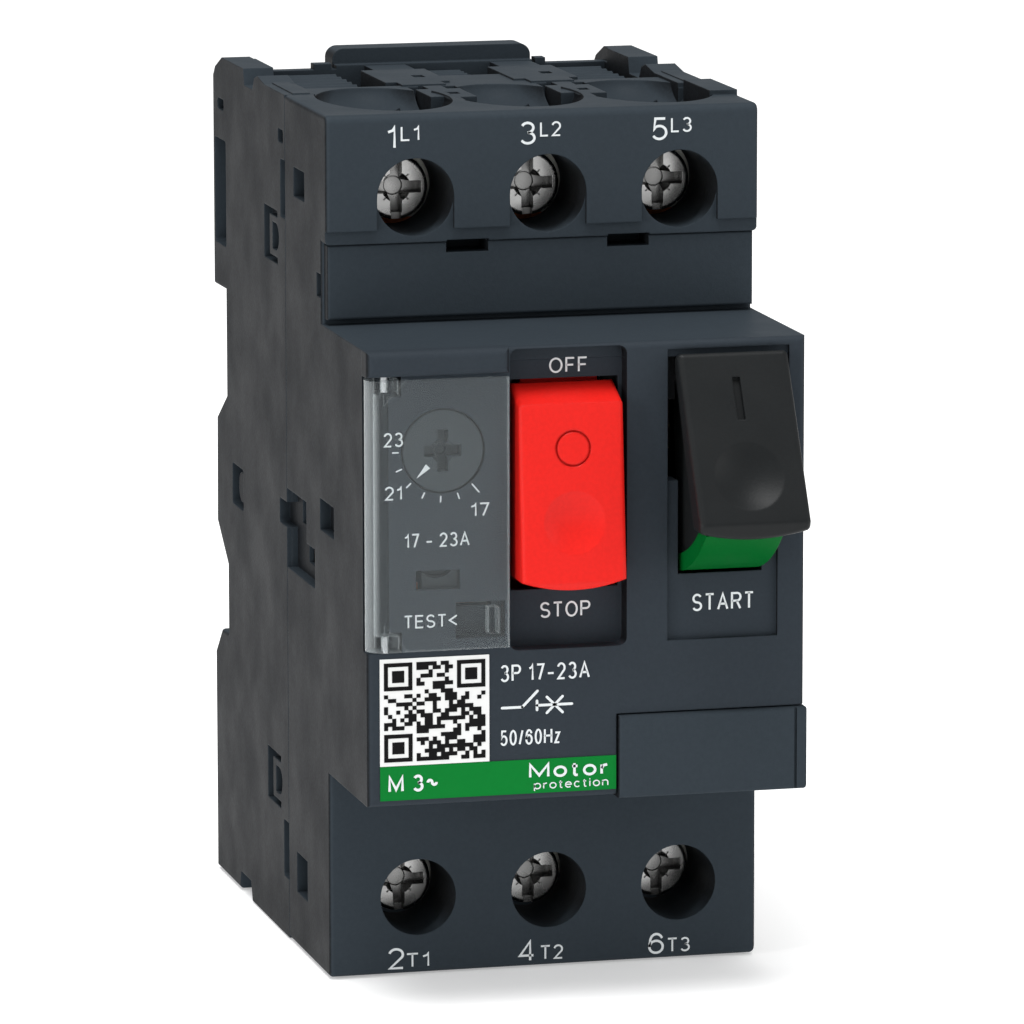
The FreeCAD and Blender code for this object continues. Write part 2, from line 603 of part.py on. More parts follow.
def cover_pins():
    spans = ((62.3, 65.2), (35.2, 38.1))
    return Part.makeCompound([rod_z(COVER_AXIS[0], COVER_AXIS[1], COVER_PIN_R, span) for span in spans])


# Terminals

def screw_at(x, z):
    head = rod_y(x, z, HEAD_R, (HEAD_Y, HEAD_Y + HEAD_LENGTH))
    head = soften(head, 0.4, lambda box: box.YMax < HEAD_Y + 0.1)
    arms = [block(spread(x, 0.6), (HEAD_Y - 1, HEAD_Y + 1.5), spread(z, 2.6)),
            block(spread(x, 2.6), (HEAD_Y - 1, HEAD_Y + 1.5), spread(z, 0.6)),
            block(spread(x, 0.5), (HEAD_Y - 1, HEAD_Y + 0.6), spread(z, 4.0)),
            Part.makeCone(1.5, 0.9, 1.7, V(x, HEAD_Y - 0.01, z), V(0, 1, 0))]
    for angle in (45, 135):
        tick = block((-1.8, 1.8), (HEAD_Y - 1, HEAD_Y + 0.12), (-0.06, 0.06))
        tick.rotate(V(0, 0, 0), V(0, 1, 0), angle)
        tick.translate(V(x, 0, z))
        arms.append(tick)
    shank = rod_y(x, z, SHANK_R, (HEAD_Y + HEAD_LENGTH - 0.1, SHANK_END))
    grooves = []
    for turn in range(6):
        y = PLATE_Y + PLATE + 0.3 + turn * 0.6
        ring = rod_y(x, z, SHANK_R + 1, (y, y + 0.25))
        grooves.append(cut(ring, [rod_y(x, z, SHANK_R - 0.25, (y, y + 0.25))]))
    return cut(union([cut(head, arms), shank]), grooves)


def washer_at(x, z):
    top = HEAD_Y + HEAD_LENGTH + 0.15
    plate = block(spread(x, 4.3), (top, top + WASHER), spread(z, 3.4))
    plate = soften(plate, 0.5, spans_y)
    lips = [block(spread(centre, 0.45), (top, top + 2.2), spread(z, 2.9)) for centre in (x - 3.85, x + 3.85)]
    return cut(union([plate] + lips), [rod_y(x, z, SHANK_R + 0.08, (top - 1, top + 4))])


def contact_tip(x, z, y):
    return rod_y(x, z, CONTACT_R, y)


def line_conductor(x):
    outline = [(PLATE_Y, 82.4), (PLATE_Y, 70.3), (CONTACT_Y + 0.7, 70.3), (CONTACT_Y + 0.7, 59.8),
               (CONTACT_Y + 1.9, 59.8), (CONTACT_Y + 1.9, 71.5), (PLATE_Y + PLATE, 71.5),
               (PLATE_Y + PLATE, 82.4)]
    bar = side_prism(outline, spread(x, 3.6))
    bore = rod_y(x, LINE_Z, SHANK_R + 0.05, (PLATE_Y - 1, PLATE_Y + 3))
    return cut(union([bar, contact_tip(x, LINE_CONTACT_Z, (CONTACT_Y, CONTACT_Y + 0.8))]), [bore])


def load_contact(x):
    outline = [(CONTACT_Y + 0.7, 46.0), (CONTACT_Y + 0.7, 34.4), (39.9, 33.2), (39.9, 29.0), (41.1, 29.0),
               (41.1, 34.4), (CONTACT_Y + 1.9, 35.4), (CONTACT_Y + 1.9, 46.0)]
    bar = side_prism(outline, spread(x, 3.6))
    return union([bar, contact_tip(x, LOAD_CONTACT_Z, (CONTACT_Y, CONTACT_Y + 0.8))])


def load_conductor(x):
    outline = [(PLATE_Y, 4.5), (PLATE_Y, 18.9), (6.6, 18.9), (6.6, 20.1), (PLATE_Y + PLATE, 20.1),
               (PLATE_Y + PLATE, 4.5)]
    bar = side_prism(outline, spread(x, 3.6))
    bore = rod_y(x, LOAD_Z, SHANK_R + 0.05, (PLATE_Y - 1, PLATE_Y + 3))
    return cut(bar, [bore])


def bimetal_strip(x):
    foot = block(spread(x, 2.6), (6.6, 10.0), (20.1, 21.3))
    strip = block(spread(x, 2.6), (8.6, 9.8), (20.3, 43.9))
    tongue = block(spread(x, 1.2), (8.6, 9.8), (43.7, 48.4))
    return union([foot, strip, tongue])


def heater_winding(x):
    turns = 7
    rings = []
    for turn in range(turns):
        z = 23.0 + turn * 2.4
        ring = block(spread(x, 3.5), (7.7, 10.7), (z, z + 1.3))
        rings.append(ring.cut(block(spread(x, 2.65), (8.5, 9.9), (z - 1, z + 3))))
        if turn:
            rings.append(block((x + 2.8, x + 3.5), (9.9, 10.7), (z - 1.2, z + 0.1)))
    return union(rings)


def moving_bridge(x):
    bar = block(spread(x, 2.6), (BRIDGE_Y, BRIDGE_Y + 1.2), (LOAD_CONTACT_Z - 2, LINE_CONTACT_Z + 2))
    bar = soften(bar, 0.8, spans_y)
    tips = [contact_tip(x, z, (BRIDGE_Y + 1.1, BRIDGE_Y + 1.9)) for z in (LINE_CONTACT_Z, LOAD_CONTACT_Z)]
    return union([bar] + tips)


def contact_carrier():
    bar = block((2.5, WIDTH - 2.5), (24.0, 27.6), (48.6, 56.4))
    prongs = []
    for x in POLE_X:
        for side in (-1, 1):
            centre = x + side * 3.6
            prongs.append(block(spread(centre, 0.6), (27.5, 36.2), (50.2, 54.8)))
        prongs.append(block(spread(x, 4.2), (34.9, 36.2), (51.0, 54.0)))
    ram = block((33.8, 37.4), (20.3, 24.1), (50.6, 54.6))
    return union([bar, ram] + prongs)


def contact_springs():
    return Part.makeCompound([coil_spring((x, 27.95, 52.5), "y", 5.3, 1.7, 0.28, 5) for x in POLE_X])


def arc_chute(x):
    stacks = []
    for z in ((64.3, 69.6), (36.6, 41.0)):
        plates = [block(spread(x, 4.6), (24.6 + 1.75 * step, 25.4 + 1.75 * step), z) for step in range(7)]
        cheeks = [block(spread(x + side * 5.0, 0.45), (24.2, 36.6), z) for side in (-1, 1)]
        stacks.append(union(plates + cheeks))
    return Part.makeCompound(stacks)


def magnet_coil(x):
    winding = rod_y(x, COIL_Z, 5.3, COIL_Y)
    grooves = []
    turns = 9
    pitch = (COIL_Y[1] - COIL_Y[0]) / turns
    for turn in range(1, turns):
        y = COIL_Y[0] + turn * pitch
        ring = rod_y(x, COIL_Z, 6.0, (y - 0.12, y + 0.12)).cut(rod_y(x, COIL_Z, 4.9, (y - 1, y + 1)))
        grooves.append(ring)
    return cut(winding, grooves + [rod_y(x, COIL_Z, 2.4, (20, 45))])


def magnet_core(x):
    yoke = side_prism([(24.8, 31.2), (24.8, 18.6), (39.4, 18.6), (39.4, 31.2), (38.2, 31.2), (38.2, 19.8),
                       (26.0, 19.8), (26.0, 31.2)], spread(x, 4.4))
    stub = rod_y(x, COIL_Z, 2.3, (34.0, 38.3))
    return cut(union([yoke, stub]), [rod_y(x, COIL_Z, 1.7, (20, 33.9))])


def plunger(x):
    return union([rod_y(x, COIL_Z, 1.6, (23.6, 31.0)), rod_y(x, COIL_Z, 2.2, (22.4, 23.8))])


def rail_latch():
    body = block((14.0, 30.5), (49.3, 52.2), (2.4, 27.0))
    hook = side_prism([(49.3, 26.9), (49.3, 28.6), (52.2, 29.2), (52.2, 26.9)], (17.0, 27.5))
    window = block((19.4, 25.1), (48, 54), (10.0, 24.9))
    pry = block((20.2, 24.3), (48, 54), (4.2, 6.2))
    return cut(union([body, hook]), [window, pry])


def latch_spring():
    return coil_spring((22.25, 50.75, 14.5), "z", 10.1, 1.05, 0.25, 8)


def save(name, shape):
    placed = shape.copy()
    placed.translate(V(-WIDTH / 2, -SEAT_Y, -SEAT_Z))
    placed.exportStep(os.path.join("parts", name + ".step"))


def main():
    os.makedirs("parts", exist_ok=True)
    single = {
        "rear_housing": rear_housing, "front_housing": front_housing, "front_fascia": front_fascia,
        "marker_strip": marker_strip, "aux_blanking_cover": aux_blanking_cover, "code_label": code_label,
        "band_label": band_label, "start_button": start_button, "start_flag": start_flag,
        "stop_button": stop_button, "pivot_pins": pivot_pins, "mechanism_frame": mechanism_frame,
        "setting_dial": setting_dial, "compensation_lever": compensation_lever,
        "test_slider": test_slider, "trip_slide": trip_slide, "latch_lever": latch_lever,
        "toggle_link": toggle_link, "transparent_cover": transparent_cover, "cover_pins": cover_pins,
        "contact_carrier": contact_carrier, "contact_springs": contact_springs,
        "rail_latch": rail_latch, "latch_spring": latch_spring,
    }
    for name, make in single.items():
        save(name, make())
    for pole, x in enumerate(POLE_X, start=1):
        save("line_screw_%d" % pole, screw_at(x, LINE_Z))
        save("load_screw_%d" % pole, screw_at(x, LOAD_Z))
        save("line_washer_%d" % pole, washer_at(x, LINE_Z))
        save("load_washer_%d" % pole, washer_at(x, LOAD_Z))
        save("line_conductor_%d" % pole, line_conductor(x))
        save("load_conductor_%d" % pole, load_conductor(x))
        save("load_contact_%d" % pole, load_contact(x))
        save("moving_bridge_%d" % pole, moving_bridge(x))
        save("magnet_coil_%d" % pole, magnet_coil(x))
        save("plunger_%d" % pole, plunger(x))
    save("magnet_cores", Part.makeCompound([magnet_core(x) for x in POLE_X]))
    save("arc_chutes", Part.makeCompound([arc_chute(x) for x in POLE_X]))
    save("bimetal_strips", Part.makeCompound([bimetal_strip(x) for x in POLE_X]))
    save("heater_windings", Part.makeCompound([heater_winding(x) for x in POLE_X]))


main()
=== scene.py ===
import bpy
import json
import math
import random
from mathutils import Matrix, Vector


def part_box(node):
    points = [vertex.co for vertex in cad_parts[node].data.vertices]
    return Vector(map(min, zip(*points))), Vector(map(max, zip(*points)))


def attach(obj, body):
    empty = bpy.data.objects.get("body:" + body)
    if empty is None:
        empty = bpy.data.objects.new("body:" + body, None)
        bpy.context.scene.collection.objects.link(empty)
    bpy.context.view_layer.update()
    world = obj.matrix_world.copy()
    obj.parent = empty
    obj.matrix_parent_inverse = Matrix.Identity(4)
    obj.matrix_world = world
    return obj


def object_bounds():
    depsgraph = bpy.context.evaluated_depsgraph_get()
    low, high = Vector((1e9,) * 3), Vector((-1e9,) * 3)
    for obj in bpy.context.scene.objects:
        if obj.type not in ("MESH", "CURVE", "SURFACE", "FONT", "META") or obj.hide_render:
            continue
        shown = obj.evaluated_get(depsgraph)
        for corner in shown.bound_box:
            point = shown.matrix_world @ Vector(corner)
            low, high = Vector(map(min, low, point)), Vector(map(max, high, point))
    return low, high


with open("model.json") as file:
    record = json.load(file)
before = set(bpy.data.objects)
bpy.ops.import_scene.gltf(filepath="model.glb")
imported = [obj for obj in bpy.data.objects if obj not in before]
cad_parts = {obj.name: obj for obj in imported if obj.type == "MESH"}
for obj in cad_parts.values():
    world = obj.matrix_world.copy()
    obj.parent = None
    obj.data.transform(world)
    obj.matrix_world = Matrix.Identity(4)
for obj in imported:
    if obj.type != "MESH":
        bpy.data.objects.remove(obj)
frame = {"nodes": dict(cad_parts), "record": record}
CAD_LOW, CAD_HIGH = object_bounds()
NODES = frame["nodes"]

MM = 0.001

# Places are given in the case frame, in millimetres: X from the left side, Y back from the
# terminal face and Z up from the bottom. CORNER is where that frame's zero lies in the row frame.
SEAT_TO_FACE = 47.9
CASE_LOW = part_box("rear_housing")[0]
CORNER = Vector((CASE_LOW.x, -SEAT_TO_FACE * MM, CASE_LOW.z))

# Printed marks are INK thick and lie INK_GAP in front of their plane.
INK = 0.03
INK_GAP = 0.006


def in_case(point):
    return (point - CORNER) / MM


def in_row(x, y, z):
    return CORNER + Vector((x, y, z)) * MM


# Planes that carry print: the face of the nose, the floor of the stop well and the start panel.
LABEL_THICKNESS = 0.1
FASCIA = in_case(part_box("code_label")[0]).y + LABEL_THICKNESS
STOP_PAN = -15.2
START_PAN = FASCIA + 0.5
TERMINAL_FACE = 0.0
DIAL_LOW, DIAL_HIGH = [in_case(corner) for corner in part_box("setting_dial")]
DIAL = ((DIAL_LOW.x + DIAL_HIGH.x) / 2, (DIAL_LOW.z + DIAL_HIGH.z) / 2)


def pole_centre(pole):
    low, high = [in_case(corner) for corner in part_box("line_screw_%d" % pole)]
    return (low.x + high.x) / 2


POLES = [pole_centre(pole) for pole in (1, 2, 3)]

# Refractive index of the window's plastic.
POLYCARBONATE = 1.58


# Materials

class Graph:
    """A material's node tree, with one shader and short calls for the usual nodes."""

    def __init__(self, name):
        self.material = bpy.data.materials.new(name)
        self.material.use_nodes = True
        self.tree = self.material.node_tree
        self.tree.nodes.clear()
        self.shader = self.tree.nodes.new("ShaderNodeBsdfPrincipled")
        self.output = self.tree.nodes.new("ShaderNodeOutputMaterial")
        self.link(self.shader.outputs[0], self.output.inputs["Surface"])
        self.space = self.tree.nodes.new("ShaderNodeTexCoord")

    def link(self, source, target):
        self.tree.links.new(source, target)

    def feed(self, target, value):
        if isinstance(value, bpy.types.NodeSocket):
            self.link(value, target)
        else:
            target.default_value = value

    def where(self, scale=(1, 1, 1)):
        """Object-space position, stretched by scale."""
        mapping = self.tree.nodes.new("ShaderNodeMapping")
        self.link(self.space.outputs["Object"], mapping.inputs["Vector"])
        mapping.inputs["Scale"].default_value = scale
        return mapping.outputs[0]

    def noise(self, scale, detail=2.0, stretch=(1, 1, 1)):
        """Soft noise with scale waves to the metre."""
        node = self.tree.nodes.new("ShaderNodeTexNoise")
        self.link(self.where(stretch), node.inputs["Vector"])
        node.inputs["Scale"].default_value = scale
        node.inputs["Detail"].default_value = detail
        node.inputs["Roughness"].default_value = 0.5
        return node.outputs["Fac"]

    def cells(self, scale):
        node = self.tree.nodes.new("ShaderNodeTexVoronoi")
        self.link(self.where(), node.inputs["Vector"])
        node.inputs["Scale"].default_value = scale
        return node.outputs["Distance"]

    def maths(self, operation, first, second=0.0, clamp=False):
        node = self.tree.nodes.new("ShaderNodeMath")
        node.operation = operation
        node.use_clamp = clamp
        self.feed(node.inputs[0], first)
        self.feed(node.inputs[1], second)
        return node.outputs[0]

    def spread(self, value, low, high, new_low, new_high):
        """Value taken from the range low to high over to the range new_low to new_high."""
        node = self.tree.nodes.new("ShaderNodeMapRange")
        self.feed(node.inputs["Value"], value)
        node.inputs["From Min"].default_value = low
        node.inputs["From Max"].default_value = high
        node.inputs["To Min"].default_value = new_low
        node.inputs["To Max"].default_value = new_high
        return node.outputs[0]

    def mix(self, share, first, second):
        node = self.tree.nodes.new("ShaderNodeMix")
        node.data_type = "RGBA"
        self.feed(node.inputs[0], share)
        self.feed(node.inputs[6], first)
        self.feed(node.inputs[7], second)
        return node.outputs[2]

    def bump(self, height, depth_mm, normal=None):
        node = self.tree.nodes.new("ShaderNodeBump")
        node.inputs["Strength"].default_value = 1.0
        node.inputs["Distance"].default_value = depth_mm * MM
        self.link(height, node.inputs["Height"])
        if normal is not None:
            self.link(normal, node.inputs["Normal"])
        return node.outputs[0]

    def rounded(self, radius_mm):
        """Surface normal with the object's edges shaded as if rounded to radius_mm."""
        node = self.tree.nodes.new("ShaderNodeBevel")
        node.samples = 4
        node.inputs["Radius"].default_value = radius_mm * MM
        return node.outputs[0]

    def edges(self, normal):
        """0 on flat ground, rising to 1 along edges, from how far the rounded normal turns."""
        geometry = self.tree.nodes.new("ShaderNodeNewGeometry")
        dot = self.tree.nodes.new("ShaderNodeVectorMath")
        dot.operation = "DOT_PRODUCT"
        self.link(normal, dot.inputs[0])
        self.link(geometry.outputs["True Normal"], dot.inputs[1])
        return self.spread(dot.outputs["Value"], 0.995, 0.86, 0.0, 1.0)

    def crevice(self, reach_mm, clear=0.6):
        """0 in the open, rising to 1 deep inside the object's own recesses."""
        node = self.tree.nodes.new("ShaderNodeAmbientOcclusion")
        node.only_local = True
        node.samples = 16
        node.inputs["Distance"].default_value = reach_mm * MM
        return self.spread(node.outputs["AO"], 0.15, clear, 1.0, 0.0)

    def sideways(self):
        """1 where the surface faces left or right, 0 where it faces the operator."""
        apart = self.tree.nodes.new("ShaderNodeSeparateXYZ")
        self.link(self.space.outputs["Normal"], apart.inputs[0])
        return self.spread(self.maths("ABSOLUTE", apart.outputs[0]), 0.55, 0.9, 0.0, 1.0)


def linear(red, green, blue):
    """Shader colour from the usual 0-255 screen values."""
    channels = []
    for value in (red, green, blue):
        share = value / 255
        channels.append(share / 12.92 if share <= 0.04045 else ((share + 0.055) / 1.055) ** 2.4)
    return tuple(channels) + (1.0,)


def shaded(colour, factor):
    """The colour made darker or lighter by factor."""
    return tuple(min(1.0, channel * factor) for channel in colour[:3]) + (1.0,)


def moulded(name, colour, side_shade=None, roughness=0.5, grain=0.012, radius=0.18, wear=0.3, gloss=0.14,
            recess_shade=0.0):
    """Injection-moulded plastic: spark-eroded grain, faint flow clouds, edges lightened both as rubbed
    wear and as a painted highlight, and painted shade on side faces and in recesses where asked.

    The side tone is painted shade: the tone of faces turned left and right, where it differs. Grain is
    the depth of the texture and radius the edge rounding, in millimetres. Wear and gloss are shares
    from 0 to 1, wear setting the painted edge highlight together with the rubbing; so is the last
    argument, the share of painted shade that darkens the object's own recesses.
    """
    graph = Graph(name)
    clouds = graph.noise(90, detail=3)
    speck = graph.noise(2600, detail=2)
    tone = graph.mix(clouds, shaded(colour, 0.95), shaded(colour, 1.05))
    # Painted shade: faces turned left and right get a darker, more neutral tone, as if they were less
    # lit.
    if side_shade is not None:
        side_shaded_tone = graph.mix(clouds, shaded(side_shade, 0.97), shaded(side_shade, 1.03))
        tone = graph.mix(graph.sideways(), tone, side_shaded_tone)
    tone = graph.mix(graph.spread(speck, 0.35, 0.65, 0.0, 0.12), tone, shaded(colour, 1.5))
    normal = graph.rounded(radius)
    edge = graph.edges(normal)
    patches = graph.spread(graph.noise(700, 3), 0.35, 0.7, 0.2, 1.0)
    # Rubbed edges: lightened as wear, and also as a painted highlight along every edge.
    rubbed_and_highlit = graph.maths("MULTIPLY", edge, patches, True)
    tone = graph.mix(graph.maths("MULTIPLY", rubbed_and_highlit, wear), tone, shaded(colour, 1.9))
    # Painted shade: colour darkened in the object's own recesses, from an occlusion mask.
    if recess_shade:
        deep = graph.maths("MULTIPLY", graph.crevice(4.0), recess_shade)
        tone = graph.mix(deep, tone, shaded(colour, 0.2))
    graph.link(tone, graph.shader.inputs["Base Color"])
    matt = graph.spread(graph.noise(160, 3), 0.3, 0.7, roughness - 0.05, roughness + 0.06)
    graph.link(graph.maths("SUBTRACT", matt, graph.maths("MULTIPLY", rubbed_and_highlit, 0.1)),
               graph.shader.inputs["Roughness"])
    pits = graph.cells(5200)
    wavy = graph.bump(graph.noise(60, 1), 0.02, normal)
    fine = graph.bump(speck, grain, graph.bump(pits, grain * 0.6, wavy))
    graph.link(fine, graph.shader.inputs["Normal"])
    graph.shader.inputs["Specular IOR Level"].default_value = gloss
    return graph.material


def metal(name, colour, roughness=0.3, stretch=(1, 1, 1), scale=900, tarnish=0.25, hollow_shade=0.0):
    """Plated or drawn metal: fine tool lines along one axis, dull patches and a painted highlight
    along edges.

    Stretch and scale shape the tool lines. Tarnish is a share from 0 to 1, and so is the last
    argument, painted shade that darkens only recesses.
    """
    graph = Graph(name)
    lines = graph.noise(scale, detail=3, stretch=stretch)
    patches = graph.noise(420, detail=4)
    dull = graph.spread(patches, 0.42, 0.68, 0.0, tarnish)
    tone = graph.mix(lines, shaded(colour, 0.86), shaded(colour, 1.1))
    tone = graph.mix(dull, tone, shaded(colour, 0.45))
    normal = graph.rounded(0.08)
    edge = graph.edges(normal)
    # Painted highlight: edges lightened where the rounded normal turns.
    tone = graph.mix(graph.maths("MULTIPLY", edge, 0.5), tone, shaded(colour, 1.25))
    # Painted shade: colour darkened in the object's own recesses, from an occlusion mask.
    if hollow_shade:
        deep = graph.maths("MULTIPLY", graph.crevice(2.4, 0.9), hollow_shade)
        tone = graph.mix(deep, tone, shaded(colour, 0.06))
    graph.link(tone, graph.shader.inputs["Base Color"])
    graph.shader.inputs["Metallic"].default_value = 1.0
    matt = graph.spread(lines, 0.3, 0.7, roughness - 0.06, roughness + 0.08)
    matt = graph.maths("ADD", matt, graph.maths("MULTIPLY", dull, 0.5))
    graph.link(matt, graph.shader.inputs["Roughness"])
    graph.link(graph.bump(lines, 0.004, normal), graph.shader.inputs["Normal"])
    return graph.material


def smoke_window(name):
    """Thin smoked polycarbonate: clear, a little milky, denser along edges and side faces."""
    graph = Graph(name)
    veil = graph.mix(graph.noise(120, 2), linear(198, 206, 208), linear(208, 215, 217))
    normal = graph.rounded(0.25)
    edge = graph.edges(normal)
    graph.link(veil, graph.shader.inputs["Base Color"])
    graph.link(graph.spread(graph.noise(500, 3), 0.3, 0.7, 0.05, 0.12), graph.shader.inputs["Roughness"])
    graph.link(graph.bump(graph.noise(70, 2), 0.004, normal), graph.shader.inputs["Normal"])
    graph.shader.inputs["IOR"].default_value = POLYCARBONATE
    clear = graph.tree.nodes.new("ShaderNodeBsdfTransparent")
    clear.inputs["Color"].default_value = linear(250, 251, 251)
    # The node turns its index over on back faces, so the inner skin gets the turned index.
    glance = graph.tree.nodes.new("ShaderNodeFresnel")
    skin = graph.tree.nodes.new("ShaderNodeNewGeometry")
    index = graph.spread(skin.outputs["Backfacing"], 0.0, 1.0, POLYCARBONATE, 1 / POLYCARBONATE)
    graph.link(index, glance.inputs["IOR"])
    share = 0.014
    for source, weight in ((glance.outputs[0], 0.5), (edge, 0.12), (graph.sideways(), 0.22)):
        share = graph.maths("ADD", graph.maths("MULTIPLY", source, weight), share, True)
    blend = graph.tree.nodes.new("ShaderNodeMixShader")
    graph.link(share, blend.inputs[0])
    graph.link(clear.outputs[0], blend.inputs[1])
    graph.link(graph.shader.outputs[0], blend.inputs[2])
    graph.link(blend.outputs[0], graph.output.inputs["Surface"])
    return graph.material


def printed(name, colour, wear=0.12, roughness=0.45):
    """Screen-printed ink or film: slightly uneven coverage over a fine grain."""
    graph = Graph(name)
    patchy = graph.noise(1500, detail=4)
    tone = graph.mix(graph.spread(patchy, 0.35, 0.75, 0.0, wear), colour, shaded(colour, 0.6))
    graph.link(tone, graph.shader.inputs["Base Color"])
    graph.link(graph.spread(graph.noise(600, 2), 0.3, 0.7, roughness - 0.06, roughness + 0.08),
               graph.shader.inputs["Roughness"])
    graph.link(graph.bump(graph.noise(2600, 2), 0.006), graph.shader.inputs["Normal"])
    graph.shader.inputs["Specular IOR Level"].default_value = 0.08
    return graph.material


# Painted shade: the darker, neutral grey for faces turned left and right, as if they were less lit.
SIDE_SHADE_GREY = linear(21, 22, 24)
# The case also gets painted shade darkening its own recesses, wells and windows.
CASE = moulded("case_plastic", linear(48, 55, 61), side_shade=SIDE_SHADE_GREY, gloss=0.03, recess_shade=0.7)
FASCIA_PLASTIC = moulded("fascia_plastic", linear(46, 52, 58), side_shade=SIDE_SHADE_GREY, grain=0.01, gloss=0.03)
DIAL_PLASTIC = moulded("dial_plastic", linear(52, 58, 62), roughness=0.42, grain=0.004, radius=0.1)
BLACK = moulded("start_plastic", linear(24, 26, 27), roughness=0.4, grain=0.008, radius=0.3, wear=0.25)
GREEN = moulded("start_flag_plastic", linear(0, 84, 31), roughness=0.42, grain=0.006, wear=0.2,
                gloss=0.04)
RED = moulded("stop_plastic", linear(210, 30, 24), roughness=0.36, grain=0.008, radius=0.35, wear=0.12)
LATCH = moulded("latch_plastic", linear(38, 40, 42), roughness=0.5, grain=0.012, gloss=0.05)
INNER = moulded("inner_plastic", linear(186, 176, 156), roughness=0.55, grain=0.015, wear=0.2)
# Screw heads get painted shade in their cross recesses and a painted highlight on their edges.
SCREW = metal("screw_nickel", linear(176, 176, 175), roughness=0.24, scale=300, tarnish=0.06, hollow_shade=0.9)
ZINC = metal("zinc_plate", linear(176, 178, 172), roughness=0.36, stretch=(1, 1, 6), scale=700)
PIN = metal("ground_pin", linear(182, 184, 186), roughness=0.22, stretch=(9, 1, 1), scale=600)
SPRING = metal("spring_wire", linear(160, 162, 165), roughness=0.3, stretch=(2, 2, 2), scale=1500)
BIMETAL = metal("bimetal_strip", linear(178, 168, 150), roughness=0.34, stretch=(8, 1, 1), scale=600)
COPPER = metal("copper_bar", linear(196, 120, 84), roughness=0.34, stretch=(7, 1, 1), scale=600,
               tarnish=0.4)
WINDOW = smoke_window("window_smoke")
WHITE_FILM = printed("label_white", linear(222, 223, 222), wear=0.06)
GREEN_FILM = printed("label_green", linear(0, 112, 41), wear=0.1, roughness=0.38)
WHITE_INK = printed("white_ink", linear(214, 219, 221))
BLACK_INK = printed("black_ink", linear(14, 14, 15), wear=0.3)

FINISH = {"case_grey": CASE, "label_white": WHITE_FILM, "label_green": GREEN_FILM, "start_black": BLACK,
          "start_green": GREEN, "stop_red": RED, "pin_steel": PIN, "zinc_steel": ZINC,
          "dial_grey": DIAL_PLASTIC, "inner_plastic": INNER, "window_smoke": WINDOW,
          "spring_steel": SPRING, "latch_plastic": LATCH, "bimetal": BIMETAL, "copper": COPPER,
          "screw_nickel": SCREW}
SLOT_OF = {part["node"]: part["material_slot"] for part in frame["record"]["subparts"]}
for name, thing in NODES.items():
    thing.data.materials.clear()
    thing.data.materials.append(FINISH[SLOT_OF[name]])
NODES["front_fascia"].data.materials[0] = FASCIA_PLASTIC


# Printed matter

def mesh_piece(name, verts, faces, material, body):
    """A visible piece that rides on a body and carries the given material."""
    mesh = bpy.data.meshes.new(name)
    mesh.from_pydata([tuple(vert) for vert in verts], [], faces)
    mesh.validate()
    mesh.update()
    piece = bpy.data.objects.new(name, mesh)
    bpy.context.scene.collection.objects.link(piece)
    mesh.materials.append(material)
    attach(piece, body)


def arc(u, v, wide, tall, first, last):
    """Points of an elliptical arc about (u, v), from first to last degrees."""
    steps = max(2, round(abs(last - first) / 15))
    angles = [math.radians(first + (last - first) * step / steps) for step in range(steps + 1)]
    return [(u + wide * math.cos(angle), v + tall * math.sin(angle)) for angle in angles]


def ring(u, v, wide, tall):
    """Points of a whole ellipse about (u, v), closed on its first point."""
    points = arc(u, v, wide, tall, 0, 360)
    return points[:-1] + [points[0]]


